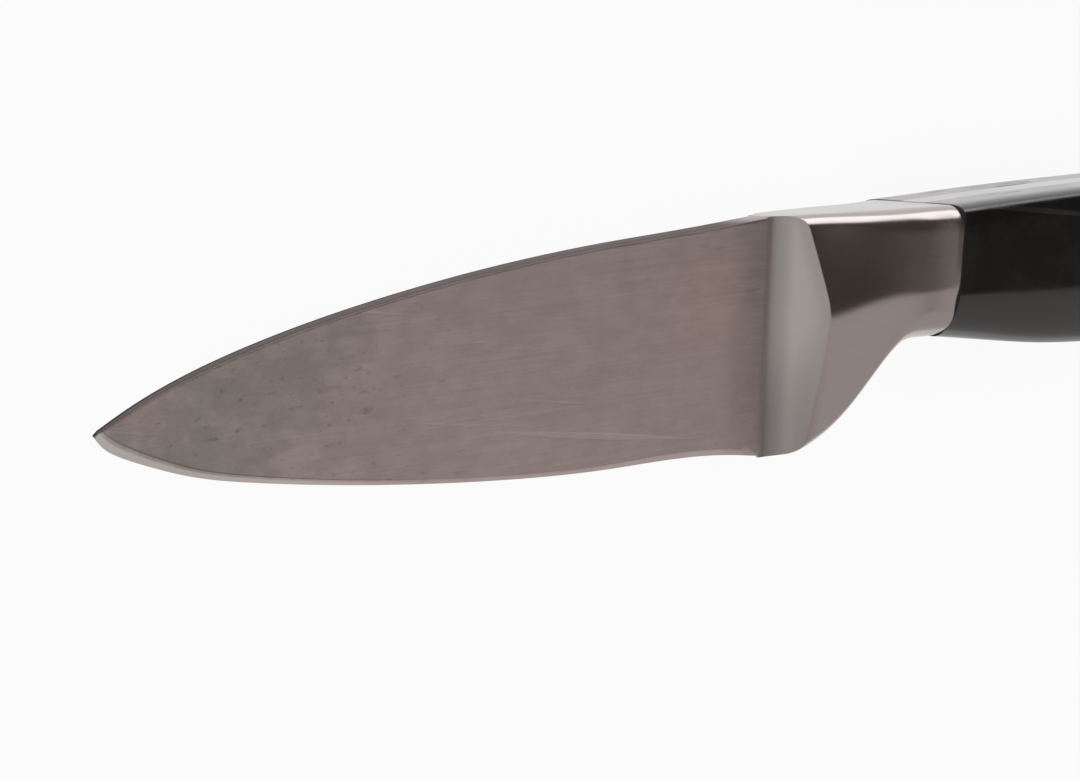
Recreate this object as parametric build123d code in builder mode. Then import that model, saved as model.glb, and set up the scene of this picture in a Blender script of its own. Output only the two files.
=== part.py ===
from build123d import *
import math
import os

# A forged paring knife, lying on its side.
# The blade, the bolster, the neck and the full tang are one piece of steel.
# Two black scales lie on the tang. Three rivets hold them, each pressed together from two halves.
# X runs from the tip to the butt, Y from the edge to the spine.
# Z runs up from the face that the knife lies on.
# Y is zero on the length axis, through the middle of the neck's rear end.
# The origin is on the lower scale's flat, halfway along it between the first two rivets.

# Lengths along the knife, in millimetres
blade_length = 90.0
bolster_length = 24.0
handle_length = 94.0

# Blade
spine_height = 7.1
edge_depth = 15.9
tip_depth = 4.9
spine_thickness = 2.45
edge_thickness = 0.3
tip_thickness = 0.76
bevel_angle = 18.0
bevel_reach = 1.7

# Bolster and neck
heel_depth = 16.05
neck_height = 6.75
neck_depth = 6.1
neck_width = 13.0
waist_width = 10.9
heel_crown_width = 6.2
neck_keel_width = 11.6
heel_keel_width = 5.4
neck_bend_height = -1.3
heel_bend_height = -2.4
neck_crown_radius = 2.2
heel_crown_radius = 1.6
flank_radius = 8.0
neck_keel_radius = 3.0
heel_keel_radius = 1.6
flare_radius = 3.9
joint_lean = 1.6

# Handle
handle_thickness = 13.2
handle_height = 7.1
handle_depth = 9.2
tang_thickness = 2.8
top_rounding = 2.0
bottom_rounding = 6.4
butt_rounding = 3.0
side_rounding = 2.8
top_squareness = 3.0
bottom_squareness = 1.7

# Rivets
first_rivet_from_front = 24.5
last_rivet_from_butt = 19.5
rivet_height = 0.8
rivet_head_radius = 3.1
rivet_head_thickness = 1.8
rivet_sleeve_radius = 2.0
rivet_pin_radius = 1.3
rivet_end_gap = 0.3
rivet_clearance = 0.03

# One overrun serves all cuts that have to pass through a face
overrun = 2.0

# Places worked out from the sizes
rivet_names = ["front", "middle", "rear"]
rivet_run = handle_length - first_rivet_from_front - last_rivet_from_butt
rivet_spacing = rivet_run / (len(rivet_names) - 1)
handle_front = -first_rivet_from_front - rivet_spacing / 2
heel = handle_front - bolster_length
tip = heel - blade_length
middle = handle_thickness / 2
middle_plane = Plane.XY.offset(middle)
upper_tang_face = middle + tang_thickness / 2
shoulder = handle_thickness - side_rounding
first_rivet = handle_front + first_rivet_from_front
rivet_places = [(first_rivet + turn * rivet_spacing, rivet_height) for turn in range(len(rivet_names))]

# Share of the way from the scale's shoulder to its flat, where its outlines are taken
rounding_level_shares = [0.0, 0.30, 0.55, 0.75, 0.90, 0.98, 1.0]
# Share of the blade's length from the tip, and share of the rise from the tip to the spine at the heel
spine_shares = [(0.050, 0.150), (0.131, 0.337), (0.213, 0.475), (0.384, 0.682), (0.563, 0.829),
                (0.752, 0.921), (0.900, 0.962), (1.0, 1.0)]
# Share of the blade's length from the tip, and share of the drop from the tip to the edge at the heel
edge_shares = [(0.012, 0.097), (0.034, 0.190), (0.075, 0.302), (0.130, 0.425), (0.212, 0.543),
               (0.383, 0.713), (0.563, 0.837), (0.753, 0.902), (0.850, 0.906), (0.950, 0.950), (1.0, 1.0)]
# Share of the bolster's length from the handle, then five shares of the change from the neck to the heel:
# of the height, of the depth, of the width, of the keel's narrowing and of the crown's narrowing
bolster_shares = [(0.00, 0.00, 0.00, 0.00, 0.00, 0.00), (0.07, 0.02, 0.00, 0.35, 0.03, 0.10),
                  (0.17, 0.08, 0.00, 0.75, 0.12, 0.23), (0.27, 0.18, 0.05, 0.95, 0.28, 0.30),
                  (0.37, 0.30, 0.21, 1.00, 0.46, 0.36), (0.47, 0.45, 0.43, 1.00, 0.63, 0.44),
                  (0.57, 0.60, 0.64, 1.00, 0.77, 0.55), (0.67, 0.77, 0.80, 1.00, 0.88, 0.69),
                  (0.76, 0.90, 0.90, 1.00, 0.95, 0.82), (0.84, 0.97, 0.96, 1.00, 0.98, 0.92),
                  (0.92, 0.99, 0.99, 1.00, 1.00, 0.98), (1.00, 1.00, 1.00, 1.00, 1.00, 1.00)]
# Share of the handle's length from its front, and share of its height above the length axis
handle_top_shares = [(0.00, 0.958), (0.12, 0.985), (0.30, 1.0), (0.50, 0.985), (0.68, 0.90),
                     (0.83, 0.70), (0.93, 0.42)]
# Share of the handle's length from its front, and share of its depth below the length axis
handle_bottom_shares = [(1.0, 0.30), (0.975, 0.84), (0.92, 1.02), (0.82, 0.97), (0.68, 0.88),
                        (0.54, 0.91), (0.38, 1.0), (0.28, 0.967), (0.19, 0.903), (0.08, 0.770),
                        (0.00, 0.668)]


def blade_flat(side):
    """The plane of one flat of the blade. Its normal points away from the middle of the blade.
    It passes through the spine and the edge at the heel and through the tip, at half their thicknesses."""
    spine_point = Vector(heel, spine_height, middle + side * spine_thickness / 2)
    edge_point = Vector(heel, -edge_depth, middle + side * edge_thickness / 2)
    tip_point = Vector(tip, -tip_depth, middle + side * tip_thickness / 2)
    normal = (tip_point - edge_point).cross(spine_point - edge_point) * -side
    return Plane(origin=edge_point, x_dir=spine_point - edge_point, z_dir=normal)


def between(neck_size, heel_size, share):
    """A size that changes from the neck's rear end to the heel, at a share of the change."""
    return neck_size + share * (heel_size - neck_size)


def bolster_section(place, height_share, depth_share, width_share, keel_share, crown_share):
    """A section square to the knife's length. Its flanks draw in above a bend towards a rounded crown,
    and below the bend they lean in towards a narrow keel."""
    height = between(neck_height, spine_height, height_share)
    bend = between(neck_bend_height, heel_bend_height, height_share)
    depth = between(neck_depth, heel_depth, depth_share)
    flank = between(neck_width, waist_width, width_share) / 2
    keel = between(neck_keel_width, heel_keel_width, keel_share) / 2
    crown = between(neck_width, heel_crown_width, crown_share) / 2
    crown_radius = between(neck_crown_radius, heel_crown_radius, height_share)
    keel_radius = between(neck_keel_radius, heel_keel_radius, keel_share)
    with BuildSketch(Plane(origin=(place, 0, middle), x_dir=(0, 1, 0), z_dir=(1, 0, 0))) as section:
        with BuildLine():
            near_side = [(height, crown), (bend, flank), (-depth, keel)]
            far_side = [(-depth, -keel), (bend, -flank), (height, -crown)]
            Polyline(near_side + far_side, close=True)
        make_face()
        fillet(section.vertices().group_by(Axis.X)[-1], crown_radius)
        fillet(section.vertices().group_by(Axis.X)[1], flank_radius)
        fillet(section.vertices().group_by(Axis.X)[0], keel_radius)
    return section.sketch


def handle_outline(level, top_inset=0, bottom_inset=0, butt_inset=0):
    """The handle's outline seen from the side, at one level. Its front leans with the joint at the neck."""
    length = handle_length - butt_inset
    height = handle_height - top_inset
    depth = handle_depth - bottom_inset
    points = [(x, y * height) for x, y in handle_top_shares]
    points += [(x, -y * depth) for x, y in handle_bottom_shares]
    lean = joint_lean / (neck_height + neck_depth)
    outline_points = [(handle_front + x * length + (1 - x) * lean * y, y) for x, y in points]
    with BuildSketch(Plane.XY.offset(level)) as outline:
        with BuildLine():
            around = Spline(outline_points)
            Line(around @ 1, around @ 0)
        make_face()
    return outline.sketch


def inset_at(share, reach, squareness):
    """How far a rounded edge has drawn in at a share of the way from the shoulder to the flat."""
    return reach * (1 - (1 - share**squareness) ** (1 / squareness))


# Blade: two flats that lean together towards the edge and the tip, with a ground bevel along the edge
with BuildPart() as blade_form:
    with BuildSketch(middle_plane):
        with BuildLine():
            rise = spine_height + tip_depth
            drop = edge_depth - tip_depth
            tip_corner = (tip, -tip_depth)
            spine_points = [(tip + x * blade_length, y * rise - tip_depth) for x, y in spine_shares]
            edge_points = [(tip + x * blade_length, -y * drop - tip_depth) for x, y in edge_shares]
            spine_line = Spline([tip_corner] + spine_points)
            edge_line = Spline([tip_corner] + edge_points)
            Line(spine_line @ 1, edge_line @ 1)
        make_face()
    extrude(amount=spine_thickness, both=True)
    split(bisect_by=blade_flat(1), keep=Keep.BOTTOM)
    split(bisect_by=blade_flat(-1), keep=Keep.BOTTOM)

bevel_run = bevel_reach * math.cos(math.radians(bevel_angle))
bevel_rise = bevel_reach * math.sin(math.radians(bevel_angle))
bevel_path = edge_line.moved(Location(middle_plane))
with BuildPart() as bevel_cutter:
    for side in (1, -1):
        with BuildSketch(Plane(origin=bevel_path @ 0, x_dir=(0, 0, side), z_dir=bevel_path % 0)):
            with BuildLine():
                out = overrun * side
                run = -bevel_run * side
                Polyline((0, 0), (bevel_rise, run), (bevel_rise, out), close=True)
            make_face()
        sweep(path=bevel_path)


# Bolster and neck: lofted, cut off on the leaning joint, and hollowed in front by two round flares
with BuildPart() as bolster_form:
    sections = [bolster_section(handle_front + joint_lean, *bolster_shares[0][1:])]
    for place, *shares in bolster_shares:
        sections.append(bolster_section(handle_front - place * bolster_length, *shares))
    loft(sections)
    joint_normal = (neck_height + neck_depth, -joint_lean, 0)
    joint = Plane(origin=(handle_front, 0, middle), x_dir=(0, 0, 1), z_dir=joint_normal)
    split(bisect_by=joint, keep=Keep.BOTTOM)
    for side in (1, -1):
        flat = blade_flat(side)
        flare_foot = flat.origin - flat.x_dir * overrun + flat.z_dir * flare_radius
        with BuildSketch(Plane(origin=flare_foot, x_dir=flat.z_dir, z_dir=flat.x_dir)):
            Circle(flare_radius)
        extrude(amount=spine_height + edge_depth + 2 * overrun, mode=Mode.SUBTRACT)

# One forging: the blade with its edge ground, the bolster and neck, and the full tang with its rivet holes
with BuildPart() as forged_blank:
    add(blade_form.part)
    add(bevel_cutter.part, mode=Mode.SUBTRACT)
    add(bolster_form.part)
    add(handle_outline(middle))
    extrude(amount=tang_thickness / 2, both=True)
    with Locations(*[(x, y, upper_tang_face) for x, y in rivet_places]):
        Hole(rivet_sleeve_radius + rivet_clearance, depth=tang_thickness)
forged_blank.part.label = "forged_blank"

# Scales: the upper one has straight walls up to its shoulder and rounded edges above it
# The lower one mirrors it
with BuildPart() as upper_scale:
    add(handle_outline(upper_tang_face))
    extrude(amount=shoulder - upper_tang_face)
    rounded_outlines = []
    for share in rounding_level_shares:
        top_inset = inset_at(share, top_rounding, top_squareness)
        bottom_inset = inset_at(share, bottom_rounding, bottom_squareness)
        butt_inset = inset_at(share, butt_rounding, bottom_squareness)
        level = shoulder + share * side_rounding
        rounded_outlines.append(handle_outline(level, top_inset, bottom_inset, butt_inset))
    loft(rounded_outlines)
    with Locations(*[(x, y, handle_thickness) for x, y in rivet_places]):
        hole_radius = rivet_sleeve_radius + rivet_clearance
        head_hole_radius = rivet_head_radius + rivet_clearance
        CounterBoreHole(hole_radius, head_hole_radius, rivet_head_thickness, depth=handle_thickness)
upper_scale.part.label = "upper_scale"

with BuildPart() as lower_scale:
    add(upper_scale.part.mirror(middle_plane))
lower_scale.part.label = "lower_scale"

# Rivets: a sleeve half has its head in the upper scale, and a pin half has its head in the lower one
# Each half's shank stops short of the other half's head
shank_length = handle_thickness - 2 * rivet_head_thickness - rivet_end_gap
rivet_halves = []
for name, place in zip(rivet_names, rivet_places):
    with BuildPart() as sleeve_half:
        with BuildSketch(Plane.XY.offset(handle_thickness)):
            with Locations(place):
                Circle(rivet_head_radius)
        extrude(amount=-rivet_head_thickness)
        with BuildSketch(Plane.XY.offset(handle_thickness - rivet_head_thickness)):
            with Locations(place):
                Circle(rivet_sleeve_radius)
                Circle(rivet_pin_radius, mode=Mode.SUBTRACT)
        extrude(amount=-shank_length)
    sleeve_half.part.label = name + "_rivet_sleeve"
    with BuildPart() as pin_half:
        with BuildSketch(Plane.XY):
            with Locations(place):
                Circle(rivet_head_radius)
        extrude(amount=rivet_head_thickness)
        with BuildSketch(Plane.XY.offset(rivet_head_thickness)):
            with Locations(place):
                Circle(rivet_pin_radius)
        extrude(amount=shank_length)
    pin_half.part.label = name + "_rivet_pin"
    rivet_halves += [sleeve_half.part, pin_half.part]

os.makedirs("parts", exist_ok=True)
for piece in [forged_blank.part, upper_scale.part, lower_scale.part] + rivet_halves:
    export_step(piece, "parts/" + piece.label + ".step")
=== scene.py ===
# %% [markdown]
# # A forged paring knife
#
# This notebook dresses a paring knife that was first built in CAD. The knife lies on its side. Its blade,
# bolster and tang are one forging of steel, and two black scales are riveted to the tang. The CAD parts
# give every size, and here each piece is modelled again as a clean mesh, with soft edges and a worn finish.
#
# Every piece that follows takes its place from them, in metres, with X from the tip to the butt, Y from the
# cutting edge to the spine, and Z up from the face that the knife lies on.

# %% Load the CAD parts
import math

import bpy
import numpy as np
from mathutils import Matrix, Vector


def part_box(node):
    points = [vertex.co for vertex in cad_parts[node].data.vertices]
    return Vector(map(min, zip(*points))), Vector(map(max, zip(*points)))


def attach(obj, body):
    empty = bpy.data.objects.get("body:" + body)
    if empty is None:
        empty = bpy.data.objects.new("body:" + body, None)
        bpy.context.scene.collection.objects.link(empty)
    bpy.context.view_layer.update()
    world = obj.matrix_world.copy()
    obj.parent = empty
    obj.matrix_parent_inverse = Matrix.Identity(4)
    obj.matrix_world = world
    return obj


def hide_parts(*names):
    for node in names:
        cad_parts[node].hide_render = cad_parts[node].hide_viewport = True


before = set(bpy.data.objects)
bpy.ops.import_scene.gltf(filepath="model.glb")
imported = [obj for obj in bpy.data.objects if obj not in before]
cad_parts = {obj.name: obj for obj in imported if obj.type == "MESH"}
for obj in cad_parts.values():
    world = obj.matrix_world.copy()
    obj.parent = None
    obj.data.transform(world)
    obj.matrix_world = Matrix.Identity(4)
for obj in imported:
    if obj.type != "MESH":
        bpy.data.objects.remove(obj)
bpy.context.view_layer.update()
mm = 0.001
print("CAD nodes:", sorted(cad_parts))

# %% [markdown]
# ## The sizes
#
# A maker's drawing gives sizes in millimetres, so this notebook does too, and turns them into metres only
# when a vertex is placed. The long sizes are read from the CAD parts' boxes. The others are the drawing's
# own.

# %% Sizes of the blade, the bolster and the handle, in millimetres
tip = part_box("forged_blank")[0][0] / mm
handle_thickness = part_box("upper_scale")[1][2] / mm
middle = handle_thickness / 2
tang_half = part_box("upper_scale")[0][2] / mm - middle

blade_length = 90.0
bolster_length = 24.0
handle_length = 94.0
heel = tip + blade_length
handle_front = heel + bolster_length

spine_height, edge_depth, tip_depth = 7.1, 15.9, 4.9
spine_thickness, edge_thickness, tip_thickness = 2.45, 0.3, 0.76
bevel_angle = 18.0
spine_softness = 0.3

neck_height, neck_depth = 6.75, 6.1
neck_width, waist_width = 13.0, 10.9
neck_keel_width, heel_keel_width = 11.6, 5.4
heel_crown_width = 6.2
neck_bend_height, heel_bend_height = -1.3, -2.4
neck_crown_radius, heel_crown_radius = 2.2, 1.6
neck_keel_radius, heel_keel_radius = 3.0, 1.6
flank_radius = 8.0
flare_radius = 2.7
crest_softness, lower_crest_softening = 1.6, 1.1
heel_depth = 16.05
joint_lean = 1.6

handle_height, handle_depth = 7.1, 9.2
side_rounding, top_rounding, bottom_rounding, butt_rounding = 2.8, 2.0, 6.4, 3.0
top_squareness, bottom_squareness = 3.0, 1.7
print("blade from", round(tip, 2), "to", round(heel, 2), "and handle from", round(handle_front, 2))

# %% [markdown]
# ## Curves through a few points
#
# The spine, the edge and the handle's outline are long gentle curves. A drawing gives a few points on each,
# as shares of the size that they follow, and a smooth cubic curve joins them. Numpy solves for the curve's
# bends in one step, which is simpler here than a Bezier object, because each ring of the mesh asks for a
# height at its own place.

# %% A smooth curve through points
def smooth_curve(places, values):
    """A cubic curve through the values at rising places, as a function. Its slope and bend have no jumps."""
    x, y = np.array(places, float), np.array(values, float)
    gap = np.diff(x)
    steepness = np.diff(y) / gap
    count = len(x)
    system, target = np.eye(count), np.zeros(count)
    for i in range(1, count - 1):
        system[i, i - 1:i + 2] = gap[i - 1], 2 * (gap[i - 1] + gap[i]), gap[i]
        target[i] = 6 * (steepness[i] - steepness[i - 1])
    bend = np.linalg.solve(system, target)

    def value_at(place):
        i = min(max(int(np.searchsorted(x, place)) - 1, 0), count - 2)
        before, after = place - x[i], x[i + 1] - place
        cubic = (bend[i] * after**3 + bend[i + 1] * before**3) / (6 * gap[i])
        return cubic + (y[i] / gap[i] - bend[i] * gap[i] / 6) * after \
            + (y[i + 1] / gap[i] - bend[i + 1] * gap[i] / 6) * before

    return value_at


# Share of the blade's length from the tip, and share of the rise to the spine or of the drop to the edge
spine_shares = [(0, 0), (0.050, 0.150), (0.131, 0.337), (0.213, 0.475), (0.384, 0.682), (0.563, 0.829),
                (0.752, 0.921), (0.900, 0.962), (1.0, 1.0)]
edge_shares = [(0, 0), (0.012, 0.097), (0.034, 0.190), (0.075, 0.302), (0.130, 0.425), (0.212, 0.543),
               (0.383, 0.713), (0.563, 0.837), (0.753, 0.902), (0.850, 0.906), (0.950, 0.950), (1.0, 1.0)]
path_samples = 2000


def path_through(points):
    """A smooth path through points: its x and its y, each a function of the share of the way along it."""
    travelled = [0]
    for (ax, ay), (bx, by) in zip(points, points[1:]):
        travelled.append(travelled[-1] + math.hypot(bx - ax, by - ay))
    shares = [way / travelled[-1] for way in travelled]
    return [smooth_curve(shares, [point[k] for point in points]) for k in (0, 1)]


def line_through(shares, rise):
    """The height along one of the blade's outlines, as a function of x. Its path starts at the tip."""
    along, across = path_through([(tip + x * blade_length, -tip_depth + y * rise) for x, y in shares])
    ways = [i / path_samples for i in range(path_samples + 1)]
    xs, ys = [along(way) for way in ways], [across(way) for way in ways]
    return lambda x: float(np.interp(x, xs, ys))


spine_line = line_through(spine_shares, spine_height + tip_depth)
edge_line = line_through(edge_shares, tip_depth - edge_depth)
print("blade depth at half its length:", round(spine_line(tip + 45) - edge_line(tip + 45), 2), "mm")

# %% [markdown]
# ## How thick the blade is
#
# Each side of the blade is one flat, ground so that the steel thins towards the edge and towards the tip. A
# narrow second bevel forms the cutting edge itself. In front of the bolster the flat runs up into a hollow
# flare. A round wheel hollows it out, so it starts as part of a round bar's surface, and runs on straight
# to the crest. The thickness at a place is then the least of these surfaces, and a soft minimum rounds the
# crest where two of them meet, as polishing does.

# %% The surfaces that bound the steel
taper_down = (spine_thickness - edge_thickness) / 2 / (spine_height + edge_depth)
tip_rise = tip_thickness / 2 - edge_thickness / 2 - taper_down * (edge_depth - tip_depth)
taper_along = tip_rise / (tip - heel)
bevel_slope = math.tan(math.radians(bevel_angle))
steepest_flare = 0.90


def flat_half(x, y):
    """Half the thickness between the blade's two flats."""
    return edge_thickness / 2 + taper_down * (y + edge_depth) + taper_along * (x - heel)


def flare_half(x, y):
    """Half the thickness that the hollow flare leaves behind the heel. Near its top it runs on straight."""
    run = max(x - heel, 0)
    last = steepest_flare * flare_radius
    rise = flare_radius - math.sqrt(flare_radius**2 - min(run, last)**2)
    slope = steepest_flare / math.sqrt(1 - steepest_flare**2)
    return flat_half(min(x, heel), y) + rise + max(run - last, 0) * slope


def soft_least(a, b, softness):
    """The lesser of two values, rounded where they are close."""
    closeness = max(softness - abs(a - b), 0) / softness
    return min(a, b) - softness * closeness**2 / 4


print("half thickness at the heel:", round(flat_half(heel, spine_height), 3), "mm at the spine and",
      round(flat_half(heel, -edge_depth), 3), "mm at the edge")

# %% [markdown]
# ## Sections of the bolster
#
# Square to its length, the bolster has a rounded crown, flanks that widen down to a soft bend, and below it
# two lower flanks that lean in to the keel. The sizes change from the neck's rear end to the heel, each at
# its own pace. Each section is drawn with the same number of points, so that neighbours can be joined
# square by square.

# %% How the bolster's sizes change
# Share of the length from the handle, then shares of the change in height, depth, width, keel and crown
bolster_shares = [(0.00, 0.00, 0.00, 0.00, 0.00, 0.00), (0.07, 0.02, 0.00, 0.35, 0.03, 0.10),
                  (0.17, 0.08, 0.00, 0.75, 0.12, 0.23), (0.27, 0.18, 0.05, 0.95, 0.28, 0.30),
                  (0.37, 0.30, 0.21, 1.00, 0.46, 0.36), (0.47, 0.45, 0.43, 1.00, 0.63, 0.44),
                  (0.57, 0.60, 0.64, 1.00, 0.77, 0.55), (0.67, 0.77, 0.80, 1.00, 0.88, 0.69),
                  (0.76, 0.90, 0.90, 1.00, 0.95, 0.82), (0.84, 0.97, 0.96, 1.00, 0.98, 0.92),
                  (0.92, 0.99, 0.99, 1.00, 1.00, 0.98), (1.00, 1.00, 1.00, 1.00, 1.00, 1.00)]
bolster_places = [row[0] for row in bolster_shares]
height_share, depth_share, width_share, keel_share, crown_share = [
    smooth_curve(bolster_places, [row[column] for row in bolster_shares]) for column in range(1, 6)]


def between(at_neck, at_heel, share):
    """A size on its way from the neck's rear end to the heel."""
    return at_neck + share * (at_heel - at_neck)


print("bolster's depth halfway along it:", round(between(neck_depth, heel_depth, depth_share(0.5)), 2), "mm")


# %% A corner with a radius
def stretch(start, end, steps):
    """Points from start to just before end."""
    return [start + (end - start) * i / steps for i in range(steps)]


def rounded_corner(corner, coming, going, radius, steps):
    """The start and end of a corner's arc, and points from the start to just before the end."""
    turn = coming.angle(going)
    reach = radius * math.tan(turn / 2)
    start, end = corner - coming * reach, corner + going * reach
    inward = (going - coming).normalized()
    centre = corner + inward * radius / math.cos(turn / 2)
    from_centre = start - centre
    side = 1 if coming.cross(going) > 0 else -1
    points = []
    for i in range(steps):
        angle = side * turn * i / steps
        c, s = math.cos(angle), math.sin(angle)
        turned = Vector((c * from_centre.x - s * from_centre.y, s * from_centre.x + c * from_centre.y))
        points.append(centre + turned)
    return start, end, points


arc_start, arc_end, _ = rounded_corner(Vector((1, 1)), Vector((0, 1)), Vector((-1, 0)), 0.5, 4)
print("a square corner rounded by half its side runs from", arc_start[:], "to", arc_end[:])

# %% Half a section of the bolster
wall_steps, crown_steps, flank_steps, bend_steps, lower_steps, keel_steps = 3, 16, 14, 6, 22, 10
keel_start = wall_steps + crown_steps + flank_steps + bend_steps + lower_steps
side_steps = keel_start + keel_steps + wall_steps


def bolster_half(x):
    """Half a section, from the crown's middle round to the keel's middle, as (height, half width)."""
    place = min(max((handle_front - x) / bolster_length, 0), 1)
    up, down, wide, low = height_share(place), depth_share(place), width_share(place), keel_share(place)
    top = between(neck_height, spine_height, up)
    bottom = -between(neck_depth, heel_depth, down)
    flank = between(neck_width, waist_width, wide) / 2
    shoulder = Vector((top, between(neck_width, heel_crown_width, crown_share(place)) / 2))
    bend = Vector((between(neck_bend_height, heel_bend_height, up), flank))
    keel = Vector((bottom, between(neck_keel_width, heel_keel_width, low) / 2))
    crown_radius = between(neck_crown_radius, heel_crown_radius, up)
    keel_radius = between(neck_keel_radius, heel_keel_radius, low)
    outward, inward = Vector((0, 1)), Vector((0, -1))
    drawing_out, leaning = (bend - shoulder).normalized(), (keel - bend).normalized()
    crown_start, crown_end, crown = rounded_corner(shoulder, outward, drawing_out, crown_radius, crown_steps)
    bend_start, bend_end, soft_bend = rounded_corner(bend, drawing_out, leaning, flank_radius, bend_steps)
    keel_first, keel_end, soft_keel = rounded_corner(keel, leaning, inward, keel_radius, keel_steps)
    points = stretch(Vector((top, 0)), crown_start, wall_steps) + crown
    points += stretch(crown_end, bend_start, flank_steps) + soft_bend
    points += stretch(bend_end, keel_first, lower_steps) + soft_keel
    return points + stretch(keel_end, Vector((bottom, 0)), wall_steps) + [Vector((bottom, 0))]


heel_half = bolster_half(heel)
print("points in half a section:", len(heel_half))

# %% [markdown]
# ## Rings of the forging
#
# The whole forging is then a row of rings from the tip to the butt. Rings lie close where the form changes
# fast, at the tip, the flare and the crest, and wide apart along the flat blade. Blade rings borrow the
# heel section's spread of points, pressed flat between the two flats, so that the blade flows into the
# bolster.

# %% Half a ring of the blade
heel_spread = [(p.x - heel_half[-1].x) / (heel_half[0].x - heel_half[-1].x) for p in heel_half]
bevel_runout = 2.0
highest_bevel = 0.9
slope_step = 0.05
tiny = 1e-6


def soften_spine(y, half, top, half_at_top):
    """Draws a point in the spine's square corner back onto a small arc."""
    softness = min(spine_softness, half_at_top / 2)
    over_y, over_half = y - (top - softness), half - (half_at_top - softness)
    if over_y <= 0 or over_half <= 0:
        return y, half
    pull = softness / math.hypot(over_y, over_half) * min(1, max(over_y, over_half) / softness)
    return top - softness + over_y * pull, half_at_top - softness + over_half * pull


def blade_half_ring(x):
    """Half a ring of the blade: the spine, one flat and its share of the ground edge."""
    top, bottom = spine_line(x), edge_line(x)
    edge_rise = edge_line(x + slope_step) - edge_line(x - slope_step)
    edge_tilt = math.cos(math.atan2(edge_rise, 2 * slope_step))
    slope = bevel_slope * edge_tilt
    depth = max(top - bottom, tiny)
    shoulder = min(flat_half(x, bottom) / (slope - taper_down) / depth, highest_bevel)
    runout = min(max((x - heel + bevel_runout) / bevel_runout, 0), 1)
    top_half = flat_half(x, top)
    points = []
    for j, heel_share in enumerate(heel_spread):
        if j <= keel_start:
            share = 1 - (1 - heel_share) / (1 - heel_spread[keel_start]) * (1 - shoulder)
        else:
            share = shoulder * (side_steps - j) / (side_steps - keel_start)
        share += (heel_share - share) * runout
        y = bottom + share * depth
        ground = slope * share * depth + runout * flat_half(x, bottom)
        half = min(flat_half(x, y), ground)
        if j < wall_steps:
            half = j / wall_steps * min(heel_half[wall_steps].y, half)
        else:
            half = min(heel_half[j].y if j < side_steps // 2 else half, half)
        if j > side_steps - wall_steps:
            half *= 1 - runout * (1 - (side_steps - j) / wall_steps)
        y, half = soften_spine(y, half, top, top_half)
        points.append((x, y, half))
    return points


test_ring = blade_half_ring(tip + 30)
print("a blade ring's spine and edge:",
      *[[round(v, 2) for v in point] for point in (test_ring[0], test_ring[-1])])

# %% Half a ring of the bolster
# The crest is softest this far behind the heel, at this half width, and this far below the bend
crest_run, crest_half, lower_crest_run = 3.0, 5.0, 5.0
# A leaning ring meets other sections than an upright one, and its places settle in this many rounds
lean_rounds = 3


def bolster_half_ring(x, lean):
    """Half a ring of the bolster, cut back by the flare in front. Its plane may lean, as the joint does."""
    points = []
    for j in range(side_steps + 1):
        place = x
        for _ in range(lean_rounds if lean else 1):
            section = bolster_half(place)[j]
            place = x + lean * section.x
        y, half = section
        limit = flare_half(place, y)
        if j < wall_steps:
            half = j / wall_steps * min(half * wall_steps / max(j, 1), limit)
        elif j > side_steps - wall_steps:
            share = (side_steps - j) / wall_steps
            half = share * min(half / max(share, tiny), limit)
        else:
            behind_heel = min(max(place - heel, 0) / crest_run, 1)
            below_bend = min(max((heel_bend_height - y) / lower_crest_run, 0), 1)
            softness = spine_softness + (crest_softness - spine_softness) * behind_heel * half / crest_half
            softness *= 1 + lower_crest_softening * below_bend
            half = soft_least(half, limit, softness)
        points.append((place, y, half))
    return points


widest = max(half for x, y, half in bolster_half_ring(heel + 4, 0))
print("widest half of the ring 4 mm behind the heel:", round(widest, 2), "mm")

# %% [markdown]
# ## The handle's outline
#
# Seen from the side, the tang and the scales share one outline: a nearly straight back, a hooked butt and a
# belly. It is one smooth path through a few points. Drawn in, it also gives every level of the scales'
# rounded edges, so the scales stay flush with the tang all round.

# %% The outline as a path
# Share of the handle's length from its front, and share of its height or depth from the length axis
handle_top_shares = [(0.00, 0.958), (0.12, 0.985), (0.30, 1.0), (0.50, 0.985), (0.68, 0.90), (0.83, 0.70),
                     (0.93, 0.42)]
handle_bottom_shares = [(1.0, 0.30), (0.975, 0.84), (0.92, 1.02), (0.82, 0.97), (0.68, 0.88), (0.54, 0.91),
                        (0.38, 1.0), (0.28, 0.967), (0.19, 0.903), (0.08, 0.770), (0.00, 0.668)]
joint_slope = joint_lean / (neck_height + neck_depth)
half_outline_steps = 110


def outline_path(top_inset=0, bottom_inset=0, butt_inset=0):
    """The outline from the top of the joint, round the butt, to the bottom of the joint."""
    length = handle_length - butt_inset
    points = [(x, y * (handle_height - top_inset)) for x, y in handle_top_shares]
    points += [(x, -y * (handle_depth - bottom_inset)) for x, y in handle_bottom_shares]
    points = [(handle_front + x * length + (1 - x) * joint_slope * y, y) for x, y in points]
    along, across = path_through(points)
    path = []
    for i in range(2 * half_outline_steps + 1):
        share = i / (2 * half_outline_steps)
        share -= 0.5 * math.sin(4 * math.pi * share) / (4 * math.pi)
        path.append((along(share), across(share)))
    return path


tang_outline = outline_path()
print("outline points:", len(tang_outline), "reaching x =", round(max(p[0] for p in tang_outline), 2), "mm")

# %% [markdown]
# ## Roll a grid into a ring-built solid
#
# How could a long solid with changing sections be modelled? A cylinder could be cut across and scaled loop
# by loop, but its loops are even, and this knife needs crowded rings in some places. A grid is handier: its
# rows become rings, its columns run along the knife, and once every vertex is in place the grid's two long
# sides meet, are merged, and the ends are filled. That is how both the forging and the scales are made
# here.

# %% Select and edit
def clear_selection():
    """Operators act on all that is selected, so each step starts with nothing selected."""
    bpy.ops.object.select_all(action="DESELECT")


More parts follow.
